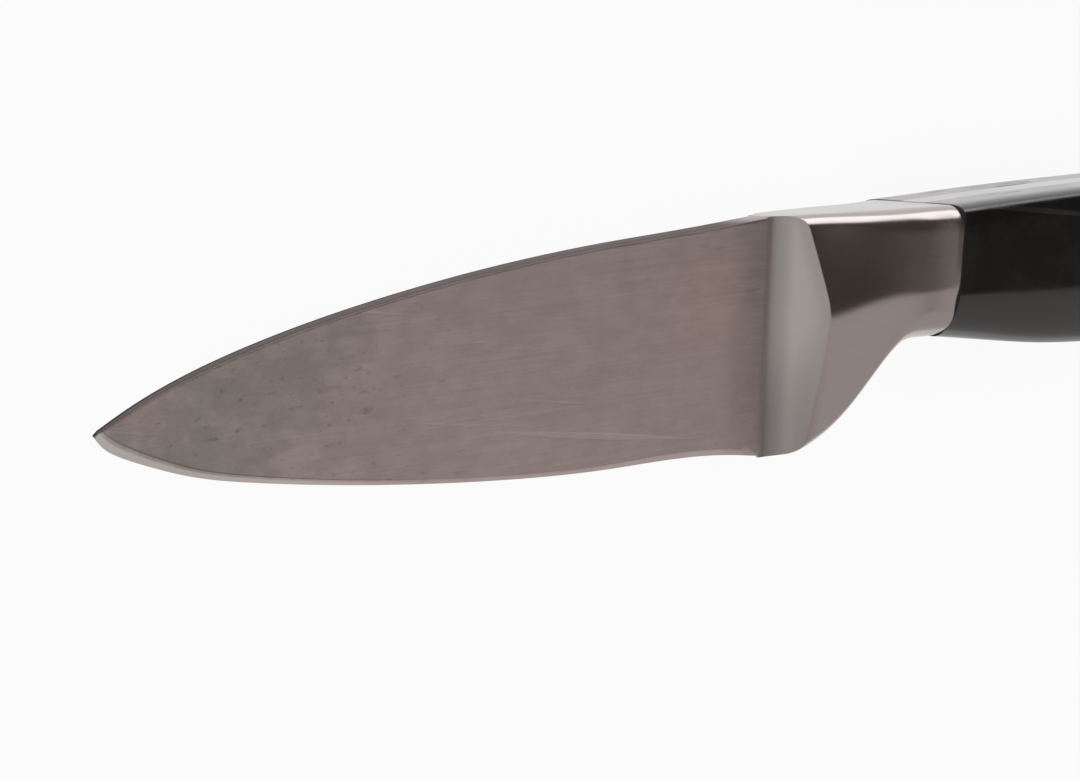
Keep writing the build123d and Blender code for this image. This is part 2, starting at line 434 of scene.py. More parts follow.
def edit(piece):
    """Opens one piece alone in edit mode with nothing selected in it."""
    if bpy.context.object and bpy.context.object.mode != "OBJECT":
        bpy.ops.object.mode_set(mode="OBJECT")
    clear_selection()
    piece.select_set(True)
    bpy.context.view_layer.objects.active = piece
    bpy.ops.object.mode_set(mode="EDIT")
    bpy.ops.mesh.select_mode(type="VERT")
    bpy.ops.mesh.select_all(action="DESELECT")


print("objects that loading left selected:", len(bpy.context.selected_objects))

# %% The roll
merge_distance = 1e-7


def rolled_grid(name, rings):
    """A closed solid through rings of equally many points, given in millimetres."""
    around = len(rings[0])
    clear_selection()
    bpy.ops.mesh.primitive_grid_add(x_subdivisions=len(rings) - 1, y_subdivisions=around, size=1)
    piece = bpy.context.object
    piece.name = name
    for vertex in piece.data.vertices:
        ring = round((vertex.co.x + 0.5) * (len(rings) - 1))
        step = round((vertex.co.y + 0.5) * around) % around
        vertex.co = Vector(rings[ring][step]) * mm
    edit(piece)
    bpy.ops.mesh.select_all(action="SELECT")
    bpy.ops.mesh.remove_doubles(threshold=merge_distance)
    bpy.ops.mesh.select_all(action="DESELECT")
    bpy.ops.mesh.select_non_manifold()
    bpy.ops.mesh.edge_face_add()
    bpy.ops.mesh.select_all(action="SELECT")
    bpy.ops.mesh.normals_make_consistent(inside=False)
    bpy.ops.object.mode_set(mode="OBJECT")
    return piece


def open_edges(piece):
    """How many edges don't join exactly two faces."""
    uses = {}
    for face in piece.data.polygons:
        for key in face.edge_keys:
            uses[key] = uses.get(key, 0) + 1
    return sum(1 for count in uses.values() if count != 2)


def both_sides(half_ring):
    """A whole ring from one half: the seen side, then the mirrored one."""
    upper = [(x, y, middle + half) for x, y, half in half_ring]
    lower = [(x, y, middle - half) for x, y, half in half_ring[1:-1]]
    return upper + lower[::-1]


print("points in a whole ring:", len(both_sides(test_ring)))

# %% [markdown]
# ## The forging
#
# A smith draws the whole forging out of one bar: tang, neck, bolster and blade. The mesh follows that, in
# one piece from the tip to the butt. The rings are crowded at the tip and over the crest in front of the
# neck, where the form turns fast. At the neck's rear end they lean with the joint, and behind it they
# follow the tang.

# %% Roll the forging
blade_rings, flare_rings, crest_rings, neck_rings = 120, 20, 30, 54
crest_from, crest_to = 3.2, 4.8
# Shares of crowded and of even spacing, for the blade's rings and for the neck's
blade_crowded, blade_even = 0.8, 0.2
neck_even, neck_crowded = 0.75, 0.25
rings = []
for i in range(blade_rings):
    even = i / blade_rings
    share = blade_crowded * (1 - math.cos(math.pi * even)) / 2 + blade_even * even
    rings.append(both_sides(blade_half_ring(tip + share * blade_length)))
for i in range(flare_rings):
    rings.append(both_sides(bolster_half_ring(heel + crest_from * i / flare_rings, 0)))
for i in range(crest_rings):
    run = crest_from + (crest_to - crest_from) * i / crest_rings
    rings.append(both_sides(bolster_half_ring(heel + run, 0)))
for i in range(neck_rings + 1):
    even = i / neck_rings
    share = neck_even * even + neck_crowded * even**2
    lean = joint_slope * even**2
    rings.append(both_sides(bolster_half_ring(heel + crest_to + share * (bolster_length - crest_to), lean)))

neck_half = bolster_half(handle_front)
neck_spread = [(p.x - neck_half[-1].x) / (neck_half[0].x - neck_half[-1].x) for p in neck_half]
for i in range(half_outline_steps + 1):
    (top_x, top_y), (bottom_x, bottom_y) = tang_outline[i], tang_outline[-1 - i]
    half_ring = []
    for j, share in enumerate(neck_spread):
        from_end = min(j, side_steps - j)
        half = tang_half * min(from_end / wall_steps, 1)
        x, y = bottom_x + share * (top_x - bottom_x), bottom_y + share * (top_y - bottom_y)
        half_ring.append((x, y, half))
    rings.append(both_sides(half_ring))

forging = rolled_grid("forging", rings)
print("forging:", len(forging.data.vertices), "vertices,", open_edges(forging), "open edges")

# %% [markdown]
# ## Two scales
#
# A scale is a slab of black moulded plastic. Its inner face lies on the tang, its wall stands straight up
# to a shoulder, and above that its edges are rounded, a little at the back and widely at the belly. Its
# rings are level outlines that draw in as they rise. The last ring lies in the flat face, so that the flat
# stays flat when the mesh is shaded smooth. The lower scale is the same slab mirrored through the middle of
# the knife.

# %% Roll the upper scale
shoulder_level = handle_thickness - side_rounding
wall_levels, rounding_levels = 3, 16
flat_margin = 0.35


def drawn_in(share, reach, squareness):
    """How far a rounded edge has drawn in at a share of its rise."""
    return reach * (1 - (1 - share**squareness) ** (1 / squareness))


def scale_ring(level, *insets):
    """The outline at one level, closed along the joint."""
    return [(x, y, level) for x, y in outline_path(*insets)]


inner_face = middle + tang_half
wall_height = shoulder_level - inner_face
scale_rings = [scale_ring(inner_face + wall_height * i / wall_levels) for i in range(wall_levels)]
for i in range(rounding_levels + 1):
    share = math.sin(math.pi / 2 * i / rounding_levels)
    top_inset = drawn_in(share, top_rounding, top_squareness)
    bottom_inset = drawn_in(share, bottom_rounding, bottom_squareness)
    butt_inset = drawn_in(share, butt_rounding, bottom_squareness)
    level = shoulder_level + share * side_rounding
    scale_rings.append(scale_ring(level, top_inset, bottom_inset, butt_inset))
last_insets = (top_rounding + flat_margin, bottom_rounding + flat_margin, butt_rounding + 2 * flat_margin)
scale_rings.append(scale_ring(handle_thickness, *last_insets))
upper_scale = rolled_grid("upper_scale_plastic", scale_rings)
print("upper scale:", len(upper_scale.data.vertices), "vertices,", open_edges(upper_scale), "open edges")

# %% [markdown]
# ## Holes for the rivets
#
# The tang is drilled through, and each scale has a stepped hole that takes a rivet's head. A drill is a
# cylinder here, and a Boolean modifier takes its volume away. Modifiers that cut are applied at once, so
# that what follows sees the real edges.

# %% Places and sizes of the rivets
rivet_names = ["front", "middle", "rear"]
rivet_places = []
for rivet_name in rivet_names:
    low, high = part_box(rivet_name + "_rivet_pin")
    rivet_places.append(((low[0] + high[0]) / 2 / mm, (low[1] + high[1]) / 2 / mm))
head_radius = (high[0] - low[0]) / 2 / mm
head_thickness = 1.8
upper_head_level = handle_thickness - head_thickness
sleeve_radius, pin_radius = 2.0, 1.3
end_gap = 0.3
hole_clearance = 0.03
print("rivets at", [(round(x, 2), round(y, 2)) for x, y in rivet_places], "mm")
print("radius of their heads:", round(head_radius, 2), "mm")

# %% Drill the tang and the upper scale
round_sides = 96
overshoot = 1


def round_bar(name, place, radius, bottom, top):
    """A cylinder that stands at a place, from one level to another, with its place in its mesh."""
    clear_selection()
    level = (bottom + top) / 2
    bpy.ops.mesh.primitive_cylinder_add(vertices=round_sides, radius=radius * mm, depth=(top - bottom) * mm,
                                        location=(place[0] * mm, place[1] * mm, level * mm))
    bar = bpy.context.object
    bar.name = name
    bpy.ops.object.transform_apply(location=True, rotation=True, scale=True)
    return bar


def cut_away(piece, drill):
    """Takes the drill's volume out of the piece."""
    cut = piece.modifiers.new("drilled", "BOOLEAN")
    cut.operation = "DIFFERENCE"
    cut.object = drill
    clear_selection()
    bpy.context.view_layer.objects.active = piece
    bpy.ops.object.modifier_apply(modifier=cut.name)
    bpy.data.objects.remove(drill)


shank_hole, head_hole = sleeve_radius + hole_clearance, head_radius + hole_clearance
for place in rivet_places:
    above = handle_thickness + overshoot
    cut_away(forging, round_bar("drill", place, shank_hole, 0, handle_thickness))
    cut_away(upper_scale, round_bar("drill", place, shank_hole, 0, above))
    cut_away(upper_scale, round_bar("drill", place, head_hole, upper_head_level, above))
for piece in (forging, upper_scale):
    print(piece.name, len(piece.data.polygons), "faces,", open_edges(piece), "open edges")

# %% [markdown]
# ## The lower scale
#
# The two scales are a mirrored pair, as a cutler's are. The drilled upper one is copied, and the copy's mesh
# is flipped through the middle of the knife. Flipping turns a mesh inside out, so its normals are worked out
# anew.

# %% Mirror the upper scale
def copy_of(piece, name):
    """A copy with its own mesh."""
    clear_selection()
    piece.select_set(True)
    bpy.context.view_layer.objects.active = piece
    bpy.ops.object.duplicate()
    copied = bpy.context.object
    copied.name = name
    return copied


lower_scale = copy_of(upper_scale, "lower_scale_plastic")
edit(lower_scale)
bpy.ops.mesh.select_all(action="SELECT")
bpy.ops.transform.resize(value=(1, 1, -1), center_override=(0, 0, middle * mm))
bpy.ops.mesh.normals_make_consistent(inside=False)
bpy.ops.object.mode_set(mode="OBJECT")
print(lower_scale.name, len(lower_scale.data.polygons), "faces,", open_edges(lower_scale), "open edges")

# %% [markdown]
# ## Rivets in two halves
#
# A cutler's compression rivet is two turned parts: a pin half and a sleeve half, pressed into each other
# from both sides. Each is turned here from a cylinder, the head. Its inner face is inset and drawn out into
# the shank, and the sleeve's end is inset once more and pushed back in to bore it. The rim of the head is
# broken with a small bevel. One of each is turned, then copied to the other holes.

# %% Select one level of a turned part
level_tolerance = 0.01
level_enough = 0.9


def select_level(piece, level):
    """Selects the level faces of a piece that lie at one height."""
    bpy.ops.object.mode_set(mode="OBJECT")
    for face in piece.data.polygons:
        here = abs(face.center.z - level * mm) < level_tolerance * mm
        face.select = here and abs(face.normal.z) > level_enough
    bpy.ops.object.mode_set(mode="EDIT")


print("faces are picked within", level_tolerance, "mm of a level")

# %% Turn one half of a rivet
shank_length = handle_thickness - 2 * head_thickness - end_gap
rim_break = 0.08


def turned_half(name, head_low, head_high, shank_radius, bore_radius=None):
    """A head between two levels, with a shank that runs down or up from its inner face."""
    piece = round_bar(name, rivet_places[0], head_radius, head_low, head_high)
    upwards = head_low == 0
    inner = head_high if upwards else head_low
    outer = head_low if upwards else head_high
    away = shank_length if upwards else -shank_length
    edit(piece)
    bpy.ops.mesh.select_mode(type="FACE")
    select_level(piece, inner)
    bpy.ops.mesh.inset(thickness=(head_radius - shank_radius) * mm)
    bpy.ops.mesh.extrude_region_move(TRANSFORM_OT_translate={"value": (0, 0, away * mm)})
    if bore_radius:
        bpy.ops.mesh.inset(thickness=(shank_radius - bore_radius) * mm)
        bpy.ops.mesh.extrude_region_move(TRANSFORM_OT_translate={"value": (0, 0, -away * mm)})
    bpy.ops.mesh.select_all(action="DESELECT")
    select_level(piece, outer)
    bpy.ops.mesh.region_to_loop()
    bpy.ops.mesh.bevel(offset=rim_break * mm, segments=3)
    bpy.ops.mesh.select_all(action="SELECT")
    bpy.ops.mesh.normals_make_consistent(inside=False)
    bpy.ops.object.mode_set(mode="OBJECT")
    return piece


print("shanks are", round(shank_length, 2), "mm long")

# %% Three pins and three sleeves
pins = [turned_half("front_pin_steel", 0, head_thickness, pin_radius)]
sleeves = [turned_half("front_sleeve_steel", upper_head_level, handle_thickness, sleeve_radius, pin_radius)]
for rivet_name, place in zip(rivet_names[1:], rivet_places[1:]):
    shift = Vector((place[0] - rivet_places[0][0], place[1] - rivet_places[0][1], 0)) * mm
    for halves, kind in ((pins, "_pin_steel"), (sleeves, "_sleeve_steel")):
        half = copy_of(halves[0], rivet_name + kind)
        half.data.transform(Matrix.Translation(shift))
        halves.append(half)
print("pin:", open_edges(pins[0]), "open edges, sleeve:", open_edges(sleeves[0]), "open edges")

# %% [markdown]
# ## Smooth and sharp
#
# Smooth shading hides the mesh's squares, but a ground edge has to stay sharp. Shading by angle does both:
# an edge stays sharp where two faces meet at more than the angle.

# %% Shade every piece by angle
sharp_from = math.radians(14)
for piece in [forging, upper_scale, lower_scale] + pins + sleeves:
    clear_selection()
    piece.select_set(True)
    bpy.context.view_layer.objects.active = piece
    bpy.ops.object.shade_smooth_by_angle(angle=sharp_from)
    print(piece.name, "has", sum(edge.use_edge_sharp for edge in piece.data.edges), "sharp edges")

# %% [markdown]
# ## Where the edge and the spine are
#
# Some marks follow the outline: the ground edge is brighter than the flat, and painted shade darkens the
# spine. Object coordinates can't tell how far a point is from a curved outline, so three numbers are stored
# on the forging's vertices. Two are distances in millimetres: below the spine, and from the spine's corner
# on the side that the knife lies on. The third says how far up the ground edge a point lies, with 1 at its
# upper limit.

# %% Store three numbers on the forging
far_away = 50.0
stored = {name: forging.data.attributes.new(name, "FLOAT", "POINT")
          for name in ("below_spine", "from_lower_corner", "up_the_bevel")}
for vertex in forging.data.vertices:
    x, y, z = vertex.co / mm
    distances = (far_away, far_away, far_away)
    if x <= heel:
        top, bottom = spine_line(x), edge_line(x)
        bevel_height = flat_half(x, bottom) / (bevel_slope - taper_down)
        from_corner = math.hypot(top - y, z - middle + flat_half(x, top))
        up_bevel = (y - bottom) / bevel_height if x < heel - bevel_runout else far_away
        distances = (top - y, from_corner, up_bevel)
    for attribute, distance in zip(stored.values(), distances):
        attribute.data[vertex.index].value = distance
near_tip_half = flat_half(tip + 2, edge_line(tip + 2))
print("bevel height at the tip:", round(near_tip_half / (bevel_slope - taper_down), 2), "mm")

# %% [markdown]
# ## Nodes by hand
#
# A material is a web of nodes, and most steps repeat: add a node, set its inputs, link it on. A few small
# helpers keep the recipes below short. One adds a node, one lays a colour over another by a mask, one maps
# a range of a value to another range, and one multiplies masks.

# %% Helpers for node trees
def add_node(tree, kind, inputs=None, **settings):
    """Adds a node. Inputs that are sockets are linked, other inputs are set as values."""
    node = tree.nodes.new("ShaderNode" + kind)
    for name, value in settings.items():
        setattr(node, name, value)
    for key, value in (inputs or {}).items():
        if isinstance(value, bpy.types.NodeSocket):
            tree.links.new(value, node.inputs[key])
        else:
            node.inputs[key].default_value = value
    return node


def blend(tree, mask, below, above):
    """Lays a second colour over a first by a mask. Either may be a socket or a colour."""
    colors = {key: value if isinstance(value, bpy.types.NodeSocket) else (*value, 1)
              for key, value in ((6, below), (7, above))}
    return add_node(tree, "Mix", {0: mask, **colors}, data_type="RGBA").outputs[2]


def from_to(tree, value, low, high, to_low=0.0, to_high=1.0):
    """Maps a range of a value softly to another range, and holds it at the ends."""
    inputs = {"Value": value, "From Min": low, "From Max": high, "To Min": to_low, "To Max": to_high}
    return add_node(tree, "MapRange", inputs, interpolation_type="SMOOTHSTEP").outputs["Result"]


def product(tree, first, *others):
    """The product of values, such as masks."""
    for other in others:
        first = add_node(tree, "Math", {0: first, 1: other}, operation="MULTIPLY").outputs[0]
    return first


print("helpers ready")

# %% [markdown]
# ## Two effects that materials share
#
# The grinding belt leaves a grain of fine scratches along the knife, on the steel and on the rivets' heads
# alike. Noise that is stretched along X gives it. Handling leaves soft smudges on steel and plastic: a slow
# noise. A faster noise mottles the tone, and the peaks of a third one are specks. Each effect is a node
# group, so it is built once and used with its own values in each material. The groups put out only values,
# because shaders belong in the materials.

# %% Helpers for groups and noise
def new_group(name, inputs, outputs):
    """A shader node group with named number inputs and outputs."""
    group = bpy.data.node_groups.new(name, "ShaderNodeTree")
    for label, value in inputs.items():
        socket = group.interface.new_socket(name=label, in_out="INPUT", socket_type="NodeSocketFloat")
        socket.default_value = value
    for label in outputs:
        group.interface.new_socket(name=label, in_out="OUTPUT", socket_type="NodeSocketFloat")
    return group, group.nodes.new("NodeGroupInput"), group.nodes.new("NodeGroupOutput")


def object_place(tree):
    """The place on the object, in metres."""
    return add_node(tree, "TexCoord").outputs["Object"]


def stretched(tree, vector, scales):
    """A vector stretched along its three axes."""
    return add_node(tree, "VectorMath", {0: vector, 1: scales}, operation="MULTIPLY").outputs[0]


def noise(tree, vector, scale, detail, **more):
    """A noise between 0 and 1."""
    inputs = {"Vector": vector, "Scale": scale, "Detail": detail, **more}
    return add_node(tree, "TexNoise", inputs).outputs[0]


print("helpers for groups ready")

# %% The grain group
grain_group, group_in, group_out = new_group("lengthwise_grain", {"Lines": 4000.0, "Length": 60.0},
                                             ["Fine", "Scratches"])
place = object_place(grain_group)
lines, length = group_in.outputs["Lines"], group_in.outputs["Length"]
fineness = add_node(grain_group, "CombineXYZ", {"X": length, "Y": lines, "Z": lines}).outputs[0]
fine = noise(grain_group, stretched(grain_group, place, fineness), 1.0, 4.0, Roughness=0.6)
scratch_slant = math.radians(7)
slanted = add_node(grain_group, "Mapping", {"Vector": place, "Rotation": (0, 0, scratch_slant)}).outputs[0]
coarse = noise(grain_group, stretched(grain_group, slanted, (18.0, 900.0, 900.0)), 1.0, 2.0)
grain_group.links.new(fine, group_out.inputs["Fine"])
grain_group.links.new(from_to(grain_group, coarse, 0.62, 0.72), group_out.inputs["Scratches"])
print("group:", grain_group.name, "with", len(grain_group.nodes), "nodes")

# %% The smudge group
smudge_group, group_in, group_out = new_group("soft_smudges", {"Size": 60.0},
                                              ["Smudges", "Mottle", "Specks"])
place = object_place(smudge_group)
lengthened = stretched(smudge_group, place, (0.45, 1.0, 1.0))
slow = noise(smudge_group, place, group_in.outputs["Size"], 5.0, Roughness=0.65, Distortion=0.4)
mottle = noise(smudge_group, lengthened, 640.0, 3.0)
specks = noise(smudge_group, lengthened, 1900.0, 2.0)
for label, value, low, high in (("Smudges", slow, 0.40, 0.66), ("Mottle", mottle, 0.36, 0.64),
                                ("Specks", specks, 0.62, 0.74)):
    smudge_group.links.new(from_to(smudge_group, value, low, high), group_out.inputs[label])
print("group:", smudge_group.name, "with", len(smudge_group.nodes), "nodes")

# %% [markdown]
# ## From a group to a material
#
# A group is placed in a material like any other node, with values of the material's own. Every finish here
# then ends alike: a colour, a roughness and a fine relief go to one Principled shader.

# %% Helpers for materials
def placed(tree, group, **values):
    """Places a group in a material with the material's own values."""
    node = add_node(tree, "Group", node_tree=group)
    for label, value in values.items():
        node.inputs[label].default_value = value
    return node


def new_material(name):
    """A new material, its node tree and its Principled shader."""
    material = bpy.data.materials.new(name)
    material.use_nodes = True
    return material, material.node_tree, material.node_tree.nodes["Principled BSDF"]


def finish_material(material, color, roughness, height):
    """Links a colour, a roughness and the height of a relief, in metres, to the material's shader."""
    tree = material.node_tree
    shader = tree.nodes["Principled BSDF"]
    bump = add_node(tree, "Bump", {"Height": height, "Strength": 1.0, "Distance": 1.0}).outputs[0]
    for label, value in (("Base Color", color), ("Roughness", roughness), ("Normal", bump)):
        tree.links.new(value, shader.inputs[label])
    print(material.name, "has", len(tree.nodes), "nodes")


# %% [markdown]
# ## Worn satin steel
#
# The blade is satin from years of washing and sharpening, and the bolster and neck behind it keep more of
# their polish. So colour and gloss change at the heel. The colour is a grey with a warm cast. Over it lie
# the dark lines of the grain and a soft mottle, which is stronger near the tip. Places are measured in
# millimetres here too, along the knife and across it.

# %% Steel: colour, grain and mottle
steel, tree, shader = new_material("satin_steel")
split = add_node(tree, "SeparateXYZ", {0: object_place(tree)})
along, across = [product(tree, split.outputs[axis], 1 / mm) for axis in "XY"]
grain = placed(tree, grain_group, Lines=5200.0, Length=70.0).outputs
smudges = placed(tree, smudge_group, Size=75.0).outputs
polished = from_to(tree, along, heel - 0.5, heel + 0.5)


def by_polish(on_blade, on_bolster):
    """A value that changes from the satin blade to the polished bolster."""
    return from_to(tree, polished, 0.0, 1.0, on_blade, on_bolster)


blade_grey, bolster_grey = (0.630, 0.530, 0.515), (0.425, 0.384, 0.370)
color = blend(tree, polished, blade_grey, bolster_grey)
dark_grain = product(tree, from_to(tree, grain["Fine"], 0.3, 0.7, 1.0, 0.0), by_polish(0.17, 0.05))
color = blend(tree, dark_grain, color, (0.26, 0.22, 0.21))
mottle_depth = product(tree, from_to(tree, along, tip + 15, tip + 50, 0.36, 0.15), by_polish(1.0, 0.15))
color = blend(tree, product(tree, smudges["Mottle"], mottle_depth), color, (0.28, 0.24, 0.23))
print("steel nodes so far:", len(tree.nodes))

# %% [markdown]
# ## Stains and scratches
#
# Use leaves its marks where it happens. The steel is darker in a band in front of the flare and over the
# flare's lower part, more so towards the keel, and a painted shadow darkens the flare's foot. Something acid
# has left a warm stain near the heel. The tip, which is dried last, has a greenish patina and dark specks,
# and fine scratches run over the whole blade. Each mark is a mask, a depth and a colour.

# %% Steel: stains, specks and scratches
def plus(tree, value, other, times=1.0):
    """A value plus some times another."""
    return add_node(tree, "Math", {0: other, 1: times, 2: value}, operation="MULTIPLY_ADD").outputs[0]


def zone(tree, value, start, full, ending, gone):
    """1 in a stretch of a value, with a soft start and a soft end."""
    return product(tree, from_to(tree, value, start, full), from_to(tree, value, ending, gone, 1.0, 0.0))


band = zone(tree, along, heel - 7, heel - 2, heel + 0.6, heel + 2.4)
band_depth = plus(tree, 0.19, from_to(tree, across, -12, 6), 0.06)
flare = product(tree, zone(tree, along, heel - 0.2, heel + 0.6, heel + 3, heel + 6),
                from_to(tree, across, -13, -3, 1.0, 0.0))
# Painted shadow: the foot of the flare is darkened as if the flare shaded it.
flare_foot_shadow = product(tree, zone(tree, along, heel - 0.2, heel + 0.5, heel + 0.9, heel + 2.8),
                     from_to(tree, across, -14, -2, 1.0, 0.25))
stain = product(tree, zone(tree, along, heel - 16, heel - 9, heel - 6, heel - 2),
                zone(tree, across, -7, -1, 3, 6))
near_tip = from_to(tree, along, tip + 8, tip + 40, 1.0, 0.0)
speck_depth = product(tree, from_to(tree, along, tip + 18, tip + 55, 0.36, 0.10), by_polish(1.0, 0.0))
marks = [
    (band, band_depth, (0.10, 0.09, 0.09)),
    (flare, 0.30, (0.14, 0.12, 0.115)),
    # The next mark is the painted shadow at the flare's foot.
    (flare_foot_shadow, 0.32, (0.12, 0.105, 0.10)),
    (stain, 0.16, (0.80, 0.50, 0.42)),
    (product(tree, near_tip, smudges["Smudges"]), 0.62, (0.35, 0.38, 0.31)),
    (product(tree, smudges["Smudges"], by_polish(1.0, 0.15)), 0.10, (0.24, 0.19, 0.19)),
    (smudges["Specks"], speck_depth, (0.12, 0.11, 0.10)),
    (grain["Scratches"], by_polish(0.20, 0.03), (0.80, 0.72, 0.70)),
]
for mask, depth, tint in marks:
    color = blend(tree, product(tree, mask, depth), color, tint)
print(len(marks), "kinds of marks on the steel")

# %% [markdown]
# ## The ground edge and the painted shade on the spine
#
# Sharpening keeps the edge's bevel bright and leaves a dark line at its upper limit. It shows most near the
# tip. The spine's narrow face is painted a dark, dull tone that isn't metal, and a near-black line follows
# its lower corner. Both are painted shade for the dark surroundings that the spine's rounding would reflect.
# The distances that were stored on the forging put these marks in place.

# %% Steel: edge and spine
def stored_value(name):
    """A number stored on the forging's vertices."""
    return add_node(tree, "Attribute", attribute_name=name).outputs["Fac"]


bevel_place = stored_value("up_the_bevel")
bevel_fades = from_to(tree, along, tip + 22, tip + 46, 1.0, 0.25)
ground = from_to(tree, bevel_place, 0.55, 0.80, 1.0, 0.0)
color = blend(tree, product(tree, ground, bevel_fades, 0.75), color, (0.74, 0.71, 0.67))
bevel_limit = zone(tree, bevel_place, 0.93, 1.0, 1.04, 1.25)
color = blend(tree, product(tree, bevel_limit, bevel_fades, 0.5), color, (0.10, 0.09, 0.09))

before_heel = from_to(tree, along, heel - 7, heel - 0.5, 1.0, 0.0)
# Painted shade: the spine's face is painted dark and dull, for the dark surroundings that it would reflect.
painted_dark_spine = product(tree, from_to(tree, stored_value("below_spine"), 0.06, 0.26, 0.9, 0.0), before_heel)
color = blend(tree, painted_dark_spine, color, (0.095, 0.066, 0.062))
# Painted shade: a near-black line along the spine's lower corner.
painted_corner_shade = product(tree, from_to(tree, stored_value("from_lower_corner"), 0.40, 0.62, 1.0, 0.0), before_heel)
color = blend(tree, painted_corner_shade, color, (0.010, 0.010, 0.012))
# Both painted shades on the spine together, used for the gloss and the metal below.
painted_spine_shade = add_node(tree, "Math", {0: painted_corner_shade, 1: painted_dark_spine}, operation="MAXIMUM").outputs[0]
print("steel nodes with edge and spine:", len(tree.nodes))

# %% [markdown]
# ## Gloss and relief of the steel
#
# The grain does more than tint the steel: it varies the gloss and gives the surface a relief of a few
# thousandths of a millimetre. Smudges dull the metal a little, and the painted shade along the spine dulls
# it fully and takes its metal away.

# %% Steel: roughness, relief and shader
rough_grain = product(tree, from_to(tree, grain["Fine"], 0.25, 0.75, -0.03, 0.03), by_polish(1.0, 0.3))
roughness = plus(tree, by_polish(0.37, 0.18), rough_grain)
roughness = plus(tree, roughness, smudges["Smudges"], 0.03)
roughness = plus(tree, roughness, painted_spine_shade, 0.35)
relief = plus(tree, grain["Fine"], grain["Scratches"], -1.2)
height = product(tree, relief, by_polish(0.004 * mm, 0.0001 * mm))
finish_material(steel, color, roughness, height)
tree.links.new(from_to(tree, painted_spine_shade, 0.0, 1.0, 1.0, 0.0), shader.inputs["Metallic"])

# %% [markdown]
# ## Black moulded plastic
#
# The scales came glossy out of a steel mould, and hands have dulled them a little. The colour is a near
# black. Smudges of finger grease vary the gloss, fine scuffs run along the grip, and a shallow waviness in
# the surface keeps the long reflections from being too perfect.

# %% Plastic of the scales
plastic, tree, shader = new_material("black_plastic")
smudges = placed(tree, smudge_group, Size=95.0).outputs["Smudges"]
scuffs = placed(tree, grain_group, Lines=2600.0, Length=220.0).outputs
color = blend(tree, smudges, (0.0038, 0.0034, 0.0035), (0.0062, 0.0055, 0.0056))
color = blend(tree, product(tree, scuffs["Scratches"], 0.10), color, (0.10, 0.095, 0.095))
roughness = plus(tree, from_to(tree, smudges, 0.0, 1.0, 0.14, 0.19), scuffs["Scratches"], 0.12)
waves = noise(tree, object_place(tree), 420.0, 2.0)
height = product(tree, plus(tree, waves, scuffs["Fine"], 0.25), 0.004 * mm)
finish_material(plastic, color, roughness, height)

# %% [markdown]
# ## Rivet metal
#
# The rivets' heads were ground flush together with the scales, so the same lengthwise grain runs over them,
# a little coarser than on the blade. The metal is paler than the blade's steel, with dull smudges where
# hands press on it.

# %% Metal of the rivets
rivet_metal, tree, shader = new_material("rivet_metal")
grain = placed(tree, grain_group, Lines=4200.0, Length=90.0).outputs["Fine"]
smudges = placed(tree, smudge_group, Size=160.0).outputs["Smudges"]
color = blend(tree, from_to(tree, grain, 0.3, 0.7, 0.22, 0.0), (0.56, 0.53, 0.50), (0.27, 0.25, 0.24))
color = blend(tree, product(tree, smudges, 0.2), color, (0.30, 0.27, 0.25))
roughness = from_to(tree, grain, 0.25, 0.75, 0.22, 0.36)
finish_material(rivet_metal, color, roughness, product(tree, grain, 0.004 * mm))
shader.inputs["Metallic"].default_value = 1.0

# %% [markdown]
# ## Dress the pieces
#
# Every piece gets its material and its body. The CAD parts that it stands for stay behind it for the
# physics, out of sight.

# %% Materials and bodies
def dress(piece, material, slot, *nodes):
    """Gives a piece its material and body, and lets it stand for its CAD nodes. The slot is not used."""
    piece.data.materials.clear()
    piece.data.materials.append(material)
    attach(piece, "root")
    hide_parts(*nodes)


dress(forging, steel, "steel", "forged_blank")
dress(upper_scale, plastic, "scale", "upper_scale")
dress(lower_scale, plastic, "scale", "lower_scale")
for rivet_name, pin, sleeve in zip(rivet_names, pins, sleeves):
    dress(pin, rivet_metal, "rivet", rivet_name + "_rivet_pin")
    dress(sleeve, rivet_metal, "rivet", rivet_name + "_rivet_sleeve")

# %% [markdown]
# ## A pale floor
#
# The knife lies on a plain white table, so bright that it has nearly no tone of its own. A matte floor
# alone would turn out grey in soft light, and more light would wash out the knife. So the floor adds a glow
# that only the camera and reflected rays see. The matte share that is left takes the knife's faint shadow.
# The floor lies a hair below the knife, so that the two don't share a plane.

# %% Lay the floor
floor_size = 6
floor_gap = 0.05
floor_grey, glow_share = 0.95, 0.92
clear_selection()
bpy.ops.mesh.primitive_plane_add(size=floor_size, location=(0, 0, -floor_gap * mm))
floor = bpy.context.object
floor.name = "floor"
bpy.ops.object.transform_apply(location=True, rotation=True, scale=True)
floor_paint = bpy.data.materials.new("pale_floor")
floor_paint.use_nodes = True
tree = floor_paint.node_tree
tree.nodes.clear()
rays = add_node(tree, "LightPath")
seen = add_node(tree, "Math", {0: rays.outputs["Is Camera Ray"], 1: rays.outputs["Is Glossy Ray"]},
                operation="MAXIMUM").outputs[0]
matte = add_node(tree, "BsdfDiffuse", {"Color": (floor_grey, floor_grey, floor_grey, 1)})
white = add_node(tree, "Emission", {"Color": (1, 1, 1, 1), "Strength": 1.0})
glow = product(tree, seen, glow_share)
paint = add_node(tree, "MixShader", {0: glow, 1: matte.outputs[0], 2: white.outputs[0]})
add_node(tree, "OutputMaterial", {"Surface": paint.outputs[0]})
floor.data.materials.append(floor_paint)
print("floor nodes:", len(tree.nodes))

# %% [markdown]
# ## A room for the steel to reflect
#
# Polished steel has little colour of its own: it shows the room. In a room that is white all over, this
# knife would look flat and chalky. The room here is soft and pale, and dimmer on the side that the blade's
# flat reflects to the camera. In that side is a dark wall, whose lower edge draws the line between the
# neck's dark flank and its light lower flank. A bright window lies low behind the knife's back and lights
# its rounded crowns. All of it is worked out from the direction of a ray, as its parts along X, Y and Z, so
# nothing stands in the way of another view.

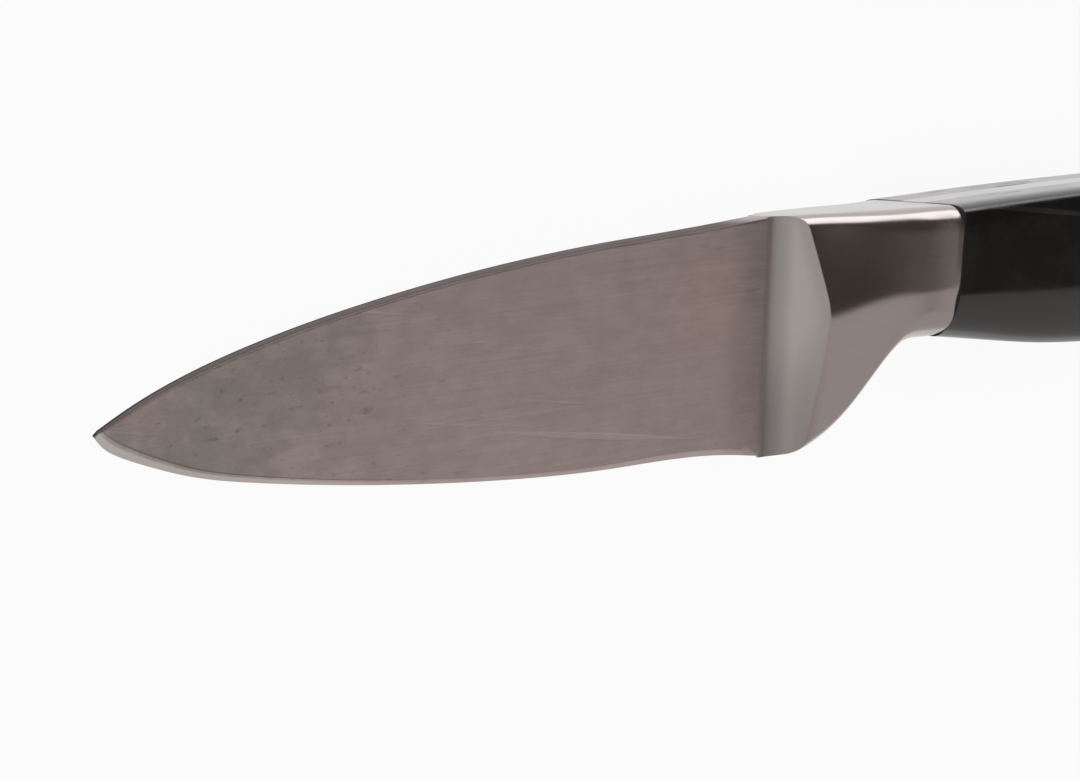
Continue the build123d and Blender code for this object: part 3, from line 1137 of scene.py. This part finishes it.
# %% The ceiling
world = bpy.data.worlds.new("pale_room")
bpy.context.scene.world = world
world.use_nodes = True
room = world.node_tree
direction = add_node(room, "TexCoord").outputs["Generated"]
split = add_node(room, "SeparateXYZ", {0: direction})
ahead, sideways, upward = [split.outputs[axis] for axis in "XYZ"]
low_light, top_light = 0.86, 0.68
brightness = from_to(room, upward, 0.0, 0.9, low_light, top_light)
ceiling = add_node(room, "CombineColor", {channel: brightness for channel in ("Red", "Green", "Blue")})
print("room light from", low_light, "at the floor to", top_light, "overhead")


# %% The dim side, the wall and the window
def towards(centre, full, gone):
    """1 within an angle of full degrees round a direction, falling softly to 0 at gone degrees."""
    aim = Vector(centre).normalized()
    likeness = add_node(room, "VectorMath", {0: direction, 1: aim}, operation="DOT_PRODUCT").outputs["Value"]
    return from_to(room, likeness, math.cos(math.radians(gone)), math.cos(math.radians(full)))


dim_side = towards((0.80, -0.25, 0.55), 22, 55)
wall = product(room, zone(room, sideways, -0.21, -0.09, 0.52, 0.62), from_to(room, ahead, 0.34, 0.56),
               from_to(room, upward, 0.88, 0.97, 1.0, 0.0))
window = product(room, zone(room, sideways, 0.50, 0.60, 0.80, 0.90), from_to(room, ahead, 0.50, 0.65),
                 from_to(room, upward, 0.58, 0.66, 1.0, 0.0))
dim_light, wall_light, window_light = (0.60, 0.558, 0.546), (0.080, 0.0696, 0.0616), (2.5, 2.5, 2.5)
light = ceiling.outputs[0]
for mask, tone in ((dim_side, dim_light), (wall, wall_light), (window, window_light)):
    light = blend(room, mask, light, tone)
background = room.nodes["Background"]
room.links.new(light, background.inputs["Color"])
background.inputs["Strength"].default_value = 1.0
print("room nodes:", len(room.nodes))

# %% [markdown]
# ## The camera
#
# The knife is seen from the edge's side of straight above, a little from behind the tip, with a long lens.
# The camera's three directions and the point that it looks at were fitted to the outline of the blade and
# the neck. Part of the handle lies outside the frame.

# %% Place the camera
camera_data = bpy.data.cameras.new("camera")
camera = bpy.data.objects.new("camera", camera_data)
bpy.context.scene.collection.objects.link(camera)
bpy.context.scene.camera = camera
camera_data.sensor_fit = "HORIZONTAL"
camera_data.sensor_width = 36
camera_data.lens = 183.5
right = Vector((0.6428, 0.0, 0.7660))
up = Vector((0.0934, 0.9925, -0.0784))
back = Vector((-0.7603, 0.1219, 0.6380))
aim = Vector((-93.31, -6.50, 6.61)) * mm
distance = 0.5
turned = Matrix((right, up, back)).transposed().to_4x4()
camera.matrix_world = Matrix.Translation(aim + back * distance) @ turned
camera_data.clip_start = 0.01
camera_data.clip_end = 20
bpy.context.scene.view_settings.view_transform = "Standard"
print("camera at", [round(v, 3) for v in camera.matrix_world.translation], "m")
